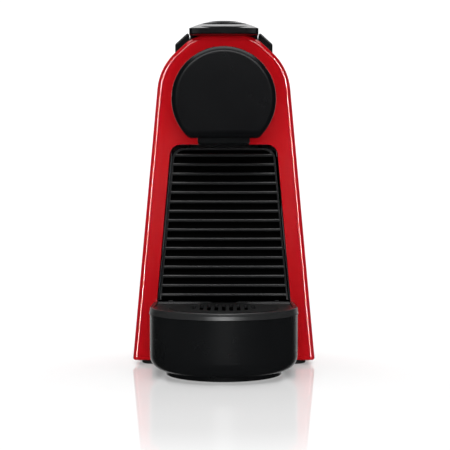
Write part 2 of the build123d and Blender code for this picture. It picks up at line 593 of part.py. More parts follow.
def piercing_plate():
    back = CAGE_REAR_Y - 4.0
    plate = rod_y(CAPSULE_RADIUS - 3.8, back - 1.2, back - 0.02, 0, CAGE_AXIS_Z)
    for turn in range(3):
        angle = radians(90 + turn * 120)
        place = Pos(7.0 * cos(angle), back - 3.2, CAGE_AXIS_Z + 7.0 * sin(angle))
        plate += place * Rot(90, 0, 0) * Cone(1.3, 0.3, 4.0)
    return plate - rod_y(1.5, back - 6, back + 6, 0, CAGE_AXIS_Z)


def cage_seal():
    return (rod_y(CAGE_RADIUS - 0.4, CAGE_FRONT_Y - 0.9, CAGE_FRONT_Y - 0.02, 0, CAGE_AXIS_Z)
            - rod_y(CAPSULE_RADIUS + 0.2, CAGE_FRONT_Y - 2, CAGE_FRONT_Y + 1, 0, CAGE_AXIS_Z))


def extraction_plate():
    """Waffle plate that the capsule's foil tears on, with its fine holes."""
    y0 = FRONT + 3.8
    plate = rod_y(PLATE_SEAT_RADIUS - 0.3, FRONT - 0.4, y0, 0, HEAD_Z)
    pitch = 4.6
    for column in range(-3, 4):
        for row in range(-3, 4):
            if hypot(column, row) < 3.3:
                stud = box(column * pitch - 1.2, column * pitch + 1.2, y0, y0 + 1.2,
                           HEAD_Z + row * pitch - 1.2, HEAD_Z + row * pitch + 1.2)
                plate += stud
    plate -= rod_y(4.0, FRONT - 2, FRONT + 2.0, 0, HEAD_Z - 10)
    return plate


def brew_frame():
    """Two side plates joined at the front and behind; the cage runs between them."""
    side = box(FRAME_IN, FRAME_OUT, FRONT + 4.6, FRAME_BACK_Y, FRAME_FOOT_Z, FRAME_TOP_Z)
    side -= rod_x(AXLE_RADIUS + 0.02, 0, 40, AXLE_Y, AXLE_Z)
    window = box(0, 40, -40.0, -8.0, FRAME_FOOT_Z + 22, FRAME_TOP_Z - 10)
    side -= fillet(window.edges().filter_by(Axis.X), 6.0)
    side -= box(0, 40, FRONT, BUTTON_BACK_Y + 10, BUTTON_BOARD_Z - 1.4, FRAME_TOP_Z + 1)
    side += box(FRAME_OUT - 1, 36.0, -19.0, -9.0, FRAME_FOOT_Z, FRAME_FOOT_Z + 3.0)
    side -= rod_z(1.9, FRAME_FOOT_Z - 1, FRAME_FOOT_Z + 4, FRAME_SCREW_X, FRAME_SCREW_Y)
    wall = box(-FRAME_OUT, FRAME_OUT, FRONT + 4.6, FRONT + 6.2, FRAME_FOOT_Z, BUTTON_BOARD_Z - 1.4)
    wall -= rod_y(CAGE_RADIUS + 0.6, FRONT, FRONT + 8, 0, CAGE_AXIS_Z)
    rear = box(-FRAME_OUT, FRAME_OUT, FRAME_BACK_Y - 3.0, FRAME_BACK_Y, FRAME_FOOT_Z, CAGE_AXIS_Z + 8)
    rear -= rod_y(FEED_RADIUS + 0.02, FRAME_BACK_Y - 5, FRAME_BACK_Y + 2, 0, CAGE_AXIS_Z)
    return both_sides(side) + wall + rear


def feed_tube():
    """Fixed tube on which the cage's rear bore slides."""
    tube = rod_y(FEED_RADIUS, CAGE_REAR_Y + 29.0, FRAME_BACK_Y + 6.0, 0, CAGE_AXIS_Z)
    return tube - rod_y(1.6, -90, 90, 0, CAGE_AXIS_Z)


# ---------------------------------------------------------------- buttons
def button(side):
    """Cap with a sloping top and a stem; it travels straight down."""
    top_in = shoulder_z(BUTTON_IN) + BUTTON_PROUD
    top_out = shoulder_z(BUTTON_OUT) + BUTTON_PROUD
    foot = shoulder_z(BUTTON_OUT) - 3.4
    face = outline([(BUTTON_IN, foot), (BUTTON_OUT, foot), (BUTTON_OUT, top_out), (BUTTON_IN, top_in)],
                   [0, 0, 1.8, 1.0])
    cap = along_y(face, BUTTON_FRONT_Y, BUTTON_BACK_Y)
    ends = cap.faces().sort_by(Axis.Y)
    cap = fillet(ends[0].edges() + ends[-1].edges(), 0.8)
    cap += rod_z(1.5, SWITCH_TOP_Z + BUTTON_TRAVEL + 0.2, foot + 1.0, BUTTON_STEM_X, BUTTON_MIDDLE_Y)
    return cap if side > 0 else mirror(cap, about=Plane.YZ)


def button_short():
    return button(-1)


def button_long():
    return button(1)


def coil(radius, wire, turns, z0, z1):
    """Compression spring with its axis upright, at the origin."""
    height = z1 - z0 - 2 * wire
    path = Helix(pitch=height / turns, height=height, radius=radius)
    section = Plane(origin=path @ 0, z_dir=path % 0) * Circle(wire)
    return Pos(0, 0, z0 + wire) * sweep(section, path=path)


def button_spring(side):
    top = shoulder_z(BUTTON_OUT) - 3.4
    spring = coil(2.4, 0.3, 4, SPRING_FOOT_Z, top - 0.02)
    return Pos(side * BUTTON_STEM_X, BUTTON_MIDDLE_Y, 0) * spring


def button_spring_short():
    return button_spring(-1)


def button_spring_long():
    return button_spring(1)


def button_board():
    """Small circuit boards under the buttons, on both sides of the brew frame."""
    board = box(BUTTON_STEM_X - 5.0, BUTTON_STEM_X + 5.0, BUTTON_MIDDLE_Y - 9, BUTTON_MIDDLE_Y + 9,
                BUTTON_BOARD_Z, BUTTON_BOARD_Z + BOARD_THICK)
    return group([board, mirror(board, about=Plane.YZ)])


def button_switches():
    switch = box(BUTTON_STEM_X - 3.0, BUTTON_STEM_X + 3.0, BUTTON_MIDDLE_Y - 3, BUTTON_MIDDLE_Y + 3,
                 SWITCH_TOP_Z - 3.0, SPRING_FOOT_Z - 0.02)
    switch -= rod_z(1.7, SWITCH_TOP_Z - 1.6, SWITCH_TOP_Z + 5, BUTTON_STEM_X, BUTTON_MIDDLE_Y)
    return group([switch, mirror(switch, about=Plane.YZ)])


# ---------------------------------------------------------------- drip unit and container
def drip_base():
    """D-shaped bucket with a belly that curves in to a foot ring, and a tongue under the container."""
    top = TRAY_TOP_Z - PLATE_THICK
    wall = 2.2
    corners = along_z(tray_face(BUCKET_INSET), 0, top)
    corners = fillet(corners.edges().filter_by(Axis.Z), TRAY_CORNER)
    bucket = along_z(tray_face(BUCKET_INSET), TRAY_FLOOR_Z, top)
    bucket = fillet(bucket.faces().sort_by(Axis.Z)[0].edges(), TRAY_BELLY_RADIUS) & corners
    ring = along_z(tray_face(RING_INSET), RING_FOOT_Z, TRAY_FLOOR_Z + 1)
    ring -= along_z(tray_face(RING_INSET + wall), 0, TRAY_FLOOR_Z)
    bucket += ring
    bucket -= along_z(tray_face(BUCKET_INSET + wall), TRAY_FLOOR_Z + 4.8, top + 1)
    tongue = box(-TONGUE_HALF, TONGUE_HALF, TRAY_REAR_Y - 2.0, TONGUE_REAR_Y, 7.0, BOX_FOOT_Z - GAP)
    inner = TONGUE_HALF - wall
    tongue -= box(-inner, inner, TRAY_REAR_Y + 1.0, TONGUE_REAR_Y - wall, 7.0 + wall, 60)
    tongue -= box(-60, 60, TRAY_REAR_Y - 5, TRAY_REAR_Y + 1.0, top, 60)
    return bucket + tongue


def drip_tray():
    """Inner tray that catches what falls through the grid."""
    floor = TRAY_FLOOR_Z + 5.4
    tray = along_z(tray_face(3.1), floor, TRAY_TOP_Z - PLATE_THICK - 0.4)
    tray = fillet(tray.faces().sort_by(Axis.Z)[0].edges(), 2.0)
    return tray - along_z(tray_face(4.9), floor + 1.8, 60)


def cup_support():
    """Plate with a raised rim and a round seat for the grid."""
    foot = TRAY_TOP_Z - PLATE_THICK + 0.1
    plate = along_z(tray_face(RIM_STEP), foot, TRAY_TOP_Z)
    plate = fillet(plate.edges().filter_by(Axis.Z), TRAY_CORNER)
    plate = fillet(plate.faces().sort_by(Axis.Z)[-1].edges(), 0.7)
    skirt = along_z(tray_face(), foot, foot + RIM_SKIRT)
    skirt = fillet(skirt.edges().filter_by(Axis.Z), TRAY_CORNER)
    plate += chamfer(skirt.faces().sort_by(Axis.Z)[-1].edges(), RIM_SKIRT - 0.1, RIM_STEP)
    plate -= along_z(tray_face(3.0), TRAY_TOP_Z - 0.9, TRAY_TOP_Z + 1)
    plate -= rod_z(GRID_RADIUS + GAP, TRAY_TOP_Z - 2.4, TRAY_TOP_Z + 1, 0, TRAY_CENTRE_Y)
    return plate - rod_z(GRID_RADIUS - 2.0, 0, 60, 0, TRAY_CENTRE_Y)


def drip_grid():
    """Round plate with a field of slots under the outlet."""
    grid = rod_z(GRID_RADIUS, TRAY_TOP_Z - 2.3, TRAY_TOP_Z - 0.7, 0, TRAY_CENTRE_Y)
    slots = 9
    pitch = 4.2
    for index in range(slots):
        x = (index - (slots - 1) / 2) * pitch
        reach = sqrt(GRID_SLOT_REACH ** 2 - x * x)
        slot = Pos(x, TRAY_CENTRE_Y) * Rot(0, 0, 90) * SlotOverall(2 * reach, 2.2)
        grid -= along_z(slot, 0, 60)
    return grid


def capsule_container():
    """Used-capsule bin; its ribbed front fills the recess inside a thin frame."""
    outer = recess_face(BOX_GAP, BOX_FOOT_Z, BOX_TOP_GAP)
    inner = recess_face(BOX_GAP + 1.0, BOX_FOOT_Z - 5, BOX_TOP_GAP + 1.0)
    front = along_y(outer, BOX_FRONT_Y, BOX_FRONT_Y + 2.4)
    frame = along_y(outer, BOX_FRONT_Y - RIM_DEPTH, BOX_FRONT_Y)
    frame -= along_y(inner, BOX_FRONT_Y - 2 * RIM_DEPTH, BOX_FRONT_Y + 1)
    ribs = []
    for index in range(RIB_COUNT):
        z = RIB_FIRST_Z + index * RIB_PITCH
        low = z - RIB_THICK / 2
        high = z + RIB_THICK / 2
        nose = BOX_FRONT_Y - RIB_DEPTH
        rear = BOX_FRONT_Y + 0.2
        side = outline([(nose, low), (nose, high), (rear, high), (rear, low)], [RIB_NOSE, RIB_NOSE, 0, 0])
        ribs.append(along_x(side, -60, 60))
    comb = (Part() + ribs) & along_y(inner, BOX_FRONT_Y - RIB_DEPTH, BOX_FRONT_Y + 1)
    half = 31.0
    wall = 1.8
    bucket = box(-half, half, BOX_FRONT_Y + 1.0, BOX_BACK_Y, BOX_FOOT_Z, BOX_RIM_Z)
    bucket = fillet(bucket.edges().filter_by(Axis.Z).group_by(Axis.Y)[-1], 6.0)
    bucket -= box(-half + wall, half - wall, BOX_FRONT_Y + 2.3, BOX_BACK_Y - wall, BOX_FOOT_Z + wall, 200)
    return front + frame + comb + bucket


# ---------------------------------------------------------------- water tank
def water_tank():
    tank = tank_block(0, TANK_FOOT_Z, TANK_RIM_Z)
    tank -= tank_block(TANK_WALL, TANK_FOOT_Z + TANK_WALL, TANK_RIM_Z + 5)
    return tank - rod_z(VALVE_NECK_RADIUS + 0.02, 0, 40, 0, VALVE_Y)


def tank_lid():
    """Cap over the tank that follows the shoulders, with a collar that drops inside the rim."""
    lid = tank_block(0, LID_FOOT_Z, SHELL_TOP_Z + 1)
    lid -= tank_block(TANK_WALL, LID_FOOT_Z - 1, SHELL_TOP_Z - TANK_WALL - 0.2)
    collar = tank_block(TANK_WALL + 0.4, TANK_RIM_Z - 4.0, LID_FOOT_Z + 1.5)
    collar -= tank_block(TANK_WALL + 2.0, TANK_RIM_Z - 5.0, LID_FOOT_Z + 2)
    rim = tank_block(0.6, LID_FOOT_Z, LID_FOOT_Z + 1.4)
    rim -= tank_block(TANK_WALL + 2.0, LID_FOOT_Z - 1, LID_FOOT_Z + 3)
    return lid + collar + rim


def tank_valve_body():
    """Flange inside the tank and a neck that enters the machine's socket."""
    body = rod_z(11.5, TANK_FOOT_Z + TANK_WALL + 0.02, TANK_FOOT_Z + TANK_WALL + 2.0, 0, VALVE_Y)
    body += rod_z(VALVE_NECK_RADIUS, SEAT_Z - 7.0, TANK_FOOT_Z + TANK_WALL + 6.0, 0, VALVE_Y)
    body -= rod_z(6.0, SEAT_Z - 4.0, 60, 0, VALVE_Y)
    return body - rod_z(4.0, 0, 60, 0, VALVE_Y)


def tank_valve_plunger():
    stem = rod_z(1.6, SEAT_Z - 8.4, TANK_FOOT_Z + 5.0, 0, VALVE_Y)
    return stem + rod_z(5.6, SEAT_Z - 0.6, SEAT_Z + 1.0, 0, VALVE_Y)


def tank_valve_spring():
    spring = coil(3.9, 0.35, 5, SEAT_Z + 1.02, TANK_FOOT_Z + TANK_WALL + 10.6)
    return Pos(0, VALVE_Y, 0) * spring


def tank_filter():
    """Perforated cap over the valve."""
    foot = TANK_FOOT_Z + TANK_WALL + 2.02
    cap = rod_z(10.0, foot, foot + 10.0, 0, VALVE_Y) - rod_z(8.4, 0, foot + 8.6, 0, VALVE_Y)
    for turn in range(12):
        cut = Pos(0, VALVE_Y, 0) * Rot(0, 0, turn * 30) * box(6, 12, -0.8, 0.8, foot + 2, foot + 7.6)
        cap -= cut
    return cap


def tank_socket():
    """Inlet in the machine: a cup that the valve neck enters, with a hole that takes the valve stem."""
    cup = rod_z(SOCKET_RADIUS, SEAT_Z - 9.6, SEAT_Z - 0.02, 0, VALVE_Y)
    cup -= rod_z(VALVE_NECK_RADIUS + 1.6, SEAT_Z - 7.8, SEAT_Z + 1, 0, VALVE_Y)
    cup += rod_y(HOSE_RADIUS, SHELL_BACK + 4.0, VALVE_Y - SOCKET_RADIUS + 1, 0, FEED_Z)
    return cup - rod_z(2.2, SEAT_Z - 10.0, SEAT_Z - 7.0, 0, VALVE_Y)


def socket_seal():
    return (rod_z(VALVE_NECK_RADIUS + 1.5, SEAT_Z - 5.4, SEAT_Z - 3.0, 0, VALVE_Y)
            - rod_z(VALVE_NECK_RADIUS + FIT, 0, 40, 0, VALVE_Y))


# ---------------------------------------------------------------- water path and electrics
def pump_body():
    pump = rod_y(PUMP_RADIUS, -6.0, 60.0, PUMP_X, PUMP_Z)
    pump += rod_y(4.0, -16.0, -5.5, PUMP_X, PUMP_Z) + rod_y(4.0, 59.5, 70.0, PUMP_X, PUMP_Z)
    pump -= rod_y(6.6, 4.0, 50.0, PUMP_X, PUMP_Z)
    return pump - rod_y(1.6, -20.0, 80.0, PUMP_X, PUMP_Z)


def pump_coil():
    coil_box = box(PUMP_X - 20, PUMP_X + 20, 12.0, 44.0, PUMP_Z - 19, PUMP_Z + 19)
    coil_box = fillet(coil_box.edges().filter_by(Axis.Y), 3.0)
    return coil_box - rod_y(PUMP_RADIUS + 0.02, 0, 60, PUMP_X, PUMP_Z)


def pump_armature():
    slug = rod_y(6.5, 14.0, 40.0, PUMP_X, PUMP_Z)
    return slug - rod_y(1.6, 0, 60, PUMP_X, PUMP_Z)


def pump_spring():
    """Bears on the armature's face and on the end of the bore."""
    spring = coil(4.6, 0.5, 4, 42.6, 49.9)
    return Pos(PUMP_X, 0, PUMP_Z) * Rot(-90, 0, 0) * spring


def pump_mounts():
    mounts = []
    for y in (PUMP_MOUNT_FRONT, PUMP_MOUNT_BACK):
        mount = box(PUMP_X - 11, PUMP_X + 11, y - 3.4, y + 3.4, PUMP_Z - 7.9, PUMP_Z + 8.0)
        mount = fillet(mount.edges().filter_by(Axis.Y), 4.0)
        mounts.append(mount - rod_y(4.02, -30, 90, PUMP_X, PUMP_Z))
    return group(mounts)


def flow_meter_body():
    meter = rod_z(16.0, METER_Z, METER_Z + 16.0, METER_X, METER_Y)
    meter += box(METER_X - 18, METER_X + 18, METER_Y - 5, METER_Y + 5, INSIDE_FOOT_Z, METER_Z + 0.5)
    meter += rod_y(3.2, METER_Y - 26, METER_Y - 14, METER_X, METER_Z + 8)
    meter += rod_y(3.2, METER_Y + 14, METER_Y + 26, METER_X, METER_Z + 8)
    meter -= rod_z(13.6, METER_Z + 2.4, METER_Z + 13.6, METER_X, METER_Y)
    return meter - rod_y(1.4, METER_Y - 40, METER_Y + 40, METER_X, METER_Z + 8)


def flow_meter_rotor():
    hub = rod_z(3.0, METER_Z + 2.8, METER_Z + 13.2, METER_X, METER_Y)
    for turn in range(6):
        blade = box(2, 12.8, -0.6, 0.6, METER_Z + 3.4, METER_Z + 12.6)
        hub += Pos(METER_X, METER_Y, 0) * Rot(0, 0, turn * 60) * blade
    return hub


def thermoblock():
    block = box(HEATER_X - 22, HEATER_X + 16, HEATER_Y - 20, HEATER_Y + 20, HEATER_FOOT_Z, HEATER_TOP_Z)
    block = fillet(block.edges().filter_by(Axis.Z), 9.0)
    for level in range(5):
        z = 92.0 + level * 11.0
        groove = box(HEATER_X - 30, HEATER_X + 30, HEATER_Y - 30, HEATER_Y + 30, z, z + 4.0)
        core = box(HEATER_X - 19.5, HEATER_X + 13.5, HEATER_Y - 17.5, HEATER_Y + 17.5, z - 1, z + 5)
        block -= groove - core
    block += rod_z(3.2, HEATER_TOP_Z - 0.5, HEATER_TOP_Z + 10, HEATER_X, HEATER_Y)
    block += rod_z(3.2, HEATER_FOOT_Z - 10, HEATER_FOOT_Z + 0.5, HEATER_X, HEATER_Y)
    block -= rod_z(1.5, 70.0, 165.0, HEATER_X, HEATER_Y)
    return block - rod_z(4.2, 80.0, 152.0, HEATER_X - 12, HEATER_Y)


def heating_element():
    return rod_z(4.1, 70.0, 160.0, HEATER_X - 12, HEATER_Y)


def thermal_cutouts():
    discs = []
    for z in (109.0, 131.0):
        rear = HEATER_Y - 20.05
        disc = rod_y(6.5, HEATER_Y - 27.0, rear, HEATER_X - 3, z)
        discs.append(disc + box(HEATER_X - 12, HEATER_X + 6, HEATER_Y - 21.0, rear, z - 2, z + 2))
    return group(discs)


def thermoblock_bracket():
    """Sheet bracket from the base plate up to the heater."""
    bracket = box(HEATER_X - 22, HEATER_X + 10, HEATER_Y + 20.1, HEATER_Y + 21.9, INSIDE_FOOT_Z, 146.0)
    bracket += box(HEATER_X - 22, HEATER_X + 10, HEATER_Y + 4, HEATER_Y + 21.9,
                   INSIDE_FOOT_Z, INSIDE_FOOT_Z + 1.8)
    return bracket - box(HEATER_X - 14, HEATER_X + 8, HEATER_Y + 18, HEATER_Y + 24, 30.0, 66.0)


def control_board():
    return box(BOARD_X, BOARD_X + 1.6, 2.0, 72.0, 62.0, 132.0)


def board_components():
    pieces = [
        box(BOARD_X - 12, BOARD_X - 0.02, 8, 26, 66, 82),
        box(BOARD_X - 9, BOARD_X - 0.02, 34, 60, 68, 84),
        box(BOARD_X - 3, BOARD_X - 0.02, 14, 34, 96, 116),
        rod_x(6.0, BOARD_X - 14, BOARD_X - 0.02, 52, 100),
        rod_x(4.0, BOARD_X - 10, BOARD_X - 0.02, 62, 120),
    ]
    return group(pieces)


def hose(points, radii):
    """Tube of straight runs joined by tangent arcs."""
    path = FilletPolyline(*points, radius=radii)
    section = Circle(HOSE_RADIUS) - Circle(HOSE_RADIUS - HOSE_WALL)
    return sweep(Plane(origin=path @ 0, z_dir=path % 0) * section, path=path)


def hose_tank_to_meter():
    z = FEED_Z
    return hose([(0, SHELL_BACK + 3.95, z), (0, 66, z), (METER_X, 50, METER_Z + 8),
                 (METER_X, METER_Y + 26.05, METER_Z + 8)], [9, 9])


def hose_meter_to_pump():
    y = METER_Y - 26.05
    z = METER_Z + 8
    turn = y - 4.4
    points = [(METER_X, y, z), (METER_X, turn, z), (PUMP_X, turn, PUMP_Z), (PUMP_X, -16.05, PUMP_Z)]
    return hose(points, [4, 4])


def hose_pump_to_heater():
    return hose([(PUMP_X, 70.05, PUMP_Z), (PUMP_X, 73.4, PUMP_Z), (8, 73.4, 66), (HEATER_X, HEATER_Y, 66),
                 (HEATER_X, HEATER_Y, 71.95)], [3, 8, 3])


def hose_heater_to_feed():
    points = [(HEATER_X, HEATER_Y, 160.05), (HEATER_X, HEATER_Y, 172), (HEATER_X, 36, 172),
              (0, 30, CAGE_AXIS_Z), (0, FRAME_BACK_Y + 6.05, CAGE_AXIS_Z)]
    return hose(points, [5, 5, 4])


# ---------------------------------------------------------------- all sub-parts
SUB_PARTS = [
    main_shell, base_plate, rear_cover, tank_shelf, top_cover, capsule_funnel, feet, base_screws,
    frame_screws, cord_gland,
    head_cover, head_housing, coffee_outlet,
    lever, lever_axle, crank_pin, toggle_links, link_pins,
    capsule_cage, piercing_plate, cage_seal, extraction_plate, brew_frame, feed_tube,
    button_short, button_long, button_spring_short, button_spring_long, button_board, button_switches,
    drip_base, drip_tray, cup_support, drip_grid, capsule_container,
    water_tank, tank_lid, tank_valve_body, tank_valve_plunger, tank_valve_spring, tank_filter,
    tank_socket, socket_seal,
    pump_body, pump_coil, pump_armature, pump_spring, pump_mounts, flow_meter_body, flow_meter_rotor,
    thermoblock, heating_element, thermal_cutouts, thermoblock_bracket, control_board, board_components,
    hose_tank_to_meter, hose_meter_to_pump, hose_pump_to_heater, hose_heater_to_feed,
]

os.makedirs("parts", exist_ok=True)
for make in SUB_PARTS:
    export_step(make(), f"parts/{make.__name__}.step")
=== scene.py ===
"""Looks of the pod coffee machine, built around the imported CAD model. Metres, +Z up, front towards -Y."""
import math

import bpy
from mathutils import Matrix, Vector


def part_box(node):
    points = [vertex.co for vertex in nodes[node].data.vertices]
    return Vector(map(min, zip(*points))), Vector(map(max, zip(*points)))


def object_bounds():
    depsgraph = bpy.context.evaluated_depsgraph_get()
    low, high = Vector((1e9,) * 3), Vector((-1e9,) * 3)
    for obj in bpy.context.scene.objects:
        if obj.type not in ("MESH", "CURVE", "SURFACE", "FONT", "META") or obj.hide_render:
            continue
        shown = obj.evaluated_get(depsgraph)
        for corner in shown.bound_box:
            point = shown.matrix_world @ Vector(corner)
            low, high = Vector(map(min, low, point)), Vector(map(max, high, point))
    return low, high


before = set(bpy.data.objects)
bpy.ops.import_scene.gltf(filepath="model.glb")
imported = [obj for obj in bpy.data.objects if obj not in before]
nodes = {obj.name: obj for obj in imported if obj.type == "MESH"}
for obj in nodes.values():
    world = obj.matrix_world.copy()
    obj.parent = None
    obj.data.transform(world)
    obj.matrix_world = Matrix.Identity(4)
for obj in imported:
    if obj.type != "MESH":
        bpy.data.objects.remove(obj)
CAD_LOW, CAD_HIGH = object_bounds()
MM = 0.001
MICRON = 0.000001

# ---------------------------------------------------------------- places taken from the frame
FRONT_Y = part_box("main_shell")[0].y
FLOOR_Z = CAD_LOW.z
RIB_FRONT_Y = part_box("capsule_container")[0].y

# ---------------------------------------------------------------- camera
CAMERA_DISTANCE = 0.603        # from the red front face
CAMERA_HEIGHT = 0.092
CAMERA_SIDE = 0.0007
CAMERA_DOWN = 0.74             # degrees below level
CAMERA_LENS = 80.27            # millimetres, as the sensor
CAMERA_SENSOR = 36.0
CAMERA_CLIP_NEAR = 0.01
CAMERA_CLIP_FAR = 50.0

# ---------------------------------------------------------------- lights in pairs, one on each side
STRIP_TURN = 34                # degrees from straight ahead
STRIP_SIZE = (0.045, 1.3)
STRIP_WATTS = 24.0
STRIP_HEIGHT = 0.12
PANEL_TURN = 27
PANEL_SIZE = (0.25, 0.9)
PANEL_WATTS = 0.45
PANEL_HEIGHT = 0.14
PAIR_AIM = (0, FRONT_Y, 0.12)

# ---------------------------------------------------------------- room
BACKDROP = 1.1                 # what the camera sees past the floor
ROOM_DARK = 0.02               # in front of the machine
ROOM_BRIGHT = 1.0              # behind it
BRIGHT_FROM = 0.80             # how squarely a ray looks backwards: 1 is straight back
BRIGHT_FULL = 0.92

# ---------------------------------------------------------------- floor
FLOOR_SIZE = 12
FLOOR_DARK = (0.88, 0.88, 0.88)
FLOOR_LIGHT = (0.92, 0.92, 0.92)
FLOOR_ROUGHNESS = (0.05, 0.08)
FLOOR_GLOW = 0.25
FLOOR_SPECULAR = 0.45
FAR_FLOOR_GLOW = 1.05
SHEEN_CENTRE = (0, -0.17, 0)
SHEEN_RADIUS = 0.09            # full sheen and shadow inside this
SHEEN_END = 0.19               # plain white outside this

# ---------------------------------------------------------------- grain of the materials, per metre
NOISE_ROUGHNESS = 0.55
NOISE_LOW = 0.3                # a noise seldom goes below or above these
NOISE_HIGH = 0.7
CLOUDS = 28                    # changes of colour
SMEARS = 75                    # changes of gloss
WORN_SPOTS = 60                # changes of a metal's colour
TANK_CLOUDS = 18
TANK_SMEARS = 50
TANK_RIPPLES = 120
RIB_GRAIN = 1800
FLOOR_CLOUDS = 3
FLOOR_SMEARS = 12
RIB_POLISH = 0.6 * MM          # how far back from the noses the ribs are still polished and free of painted shade
RIB_SHADE = 3.0 * MM           # from here back they are dull and fully darkened with painted shade

# ---------------------------------------------------------------- metal and clear plastic
METAL_DARK = 0.82              # the dark clouds' share of the tint
CLEAR_DARK = 0.9
CLEAR_TRANSMISSION = 0.9
CLEAR_IOR = 1.49


def make_camera():
    data = bpy.data.cameras.new("camera")
    data.lens = CAMERA_LENS
    data.sensor_width = CAMERA_SENSOR
    data.clip_start = CAMERA_CLIP_NEAR
    data.clip_end = CAMERA_CLIP_FAR
    camera = bpy.data.objects.new("camera", data)
    camera.location = (CAMERA_SIDE, FRONT_Y - CAMERA_DISTANCE, CAMERA_HEIGHT)
    camera.rotation_euler = (math.radians(90 - CAMERA_DOWN), 0, 0)
    bpy.context.scene.collection.objects.link(camera)
    bpy.context.scene.camera = camera


# ---------------------------------------------------------------- light
def area_light(name, place, aim, size, watts):
    data = bpy.data.lights.new(name, "AREA")
    data.shape = "RECTANGLE"
    data.size, data.size_y = size
    data.energy = watts
    light = bpy.data.objects.new(name, data)
    light.location = place
    light.rotation_euler = (Vector(aim) - Vector(place)).to_track_quat("-Z", "Y").to_euler()
    bpy.context.scene.collection.objects.link(light)
    return light


def gloss_light(name, place, aim, size, watts, shines_on=None):
    """A light that is mirrored in the gloss and leaves the colours alone."""
    light = area_light(name, place, aim, size, watts)
    light.visible_diffuse = False
    if shines_on:
        light.light_linking.receiver_collection = shines_on


def fill_light(name, place, aim, size, watts):
    """A light that shines on the colours and is not mirrored in the gloss."""
    light = area_light(name, place, aim, size, watts)
    light.visible_glossy = False


def receivers(name, *names):
    """The nodes that a light with this collection shines on."""
    group = bpy.data.collections.new(name)
    for node in names:
        group.objects.link(nodes[node])
    return group


def beside(side, turn, height):
    """A place one metre from the front face, turned to one side of straight ahead."""
    angle = math.radians(turn)
    return (side * math.sin(angle), FRONT_Y - math.cos(angle), height)


def make_lights():
    area_light("overhead", place=(0, -0.12, 1.3), aim=(0, 0, 0), size=(1.5, 1.3), watts=15)
    gloss_light("front_high", place=(0, -1.35, 0.86), aim=(0, -0.1, 0.1), size=(1.2, 0.4), watts=9)
    gloss_light("tray_box", place=(0, -1.2, 0.35), aim=(0, -0.1, 0.03), size=(0.5, 0.3), watts=4.5,
                shines_on=receivers("tray_parts", "cup_support", "drip_base"))
    gloss_light("lever_box", place=(0, -1.35, 0.9), aim=(0, -0.1, 0.2), size=(0.7, 0.45), watts=6,
                shines_on=receivers("lever_parts", "lever"))
    for name, height, watts in (("fill_low", 0.12, 3.7), ("fill_high", 0.62, 2.6)):
        fill_light(name, place=(0, -1.1, height), aim=(0, FRONT_Y, 0.09), size=(0.4, 0.2), watts=watts)


def make_paired_lights():
    """Strips draw the bright line along the casing's rounded edge, and panels light the black parts' edges."""
    casing = receivers("casing", "main_shell")
    trim = receivers("trim", "lever", "head_cover", "head_housing", "button_short", "button_long")
    for side in (-1, 1):
        gloss_light("strip", beside(side, STRIP_TURN, STRIP_HEIGHT), PAIR_AIM,
                    STRIP_SIZE, STRIP_WATTS, casing)
        gloss_light("side_panel", beside(side, PANEL_TURN, PANEL_HEIGHT), PAIR_AIM,
                    PANEL_SIZE, PANEL_WATTS, trim)


def make_side_lights():
    """Soft boxes well to the sides and behind, for the tank and the dark parts round it only."""
    places = {"left_box": (-1.3, 0.35, 0.7), "right_box": (1.3, 0.35, 0.7), "rear_box": (0, 1.5, 0.8)}
    for name, place in places.items():
        box = area_light(name, place, aim=(0, 0.06, 0.1), size=(0.9, 0.6), watts=9)
        box.light_linking.receiver_collection = receivers(
            name + "_parts", "water_tank", "tank_lid", "tank_shelf", "rear_cover", "top_cover")


def make_world():
    """A white backdrop behind the machine and a dark room in front of it."""
    world = bpy.data.worlds.new("studio")
    bpy.context.scene.world = world
    world.use_nodes = True
    tree = world.node_tree
    tree.nodes.clear()
    out = tree.nodes.new("ShaderNodeOutputWorld")
    mix = tree.nodes.new("ShaderNodeMixShader")
    path = tree.nodes.new("ShaderNodeLightPath")
    seen = tree.nodes.new("ShaderNodeBackground")
    seen.inputs["Color"].default_value = (1, 1, 1, 1)
    seen.inputs["Strength"].default_value = BACKDROP
    coords = tree.nodes.new("ShaderNodeTexCoord")
    split = tree.nodes.new("ShaderNodeSeparateXYZ")
    behind = tree.nodes.new("ShaderNodeMapRange")
    behind.interpolation_type = "SMOOTHSTEP"
    behind.inputs["From Min"].default_value = BRIGHT_FROM
    behind.inputs["From Max"].default_value = BRIGHT_FULL
    behind.inputs["To Min"].default_value = ROOM_DARK
    behind.inputs["To Max"].default_value = ROOM_BRIGHT
    room = tree.nodes.new("ShaderNodeBackground")
    tree.links.new(coords.outputs["Generated"], split.inputs[0])
    tree.links.new(split.outputs["Y"], behind.inputs["Value"])
    tree.links.new(behind.outputs["Result"], room.inputs["Strength"])
    tree.links.new(path.outputs["Is Camera Ray"], mix.inputs["Fac"])
    tree.links.new(room.outputs[0], mix.inputs[1])
    tree.links.new(seen.outputs[0], mix.inputs[2])
    tree.links.new(mix.outputs[0], out.inputs["Surface"])


# ---------------------------------------------------------------- parts of a material
def new_material(name):
    material = bpy.data.materials.new(name)
    material.use_nodes = True
    tree = material.node_tree
    return material, tree, tree.nodes["Principled BSDF"]


def noise(tree, scale, detail):
    """A noise that is fixed to the object, with this many changes per metre."""
    coords = tree.nodes.new("ShaderNodeTexCoord")
    mapping = tree.nodes.new("ShaderNodeMapping")
    mapping.inputs["Scale"].default_value = (scale, scale, scale)
    node = tree.nodes.new("ShaderNodeTexNoise")
    node.inputs["Scale"].default_value = 1.0
    node.inputs["Detail"].default_value = detail
    node.inputs["Roughness"].default_value = NOISE_ROUGHNESS
    tree.links.new(coords.outputs["Object"], mapping.inputs["Vector"])
    tree.links.new(mapping.outputs["Vector"], node.inputs["Vector"])
    return node.outputs["Fac"]


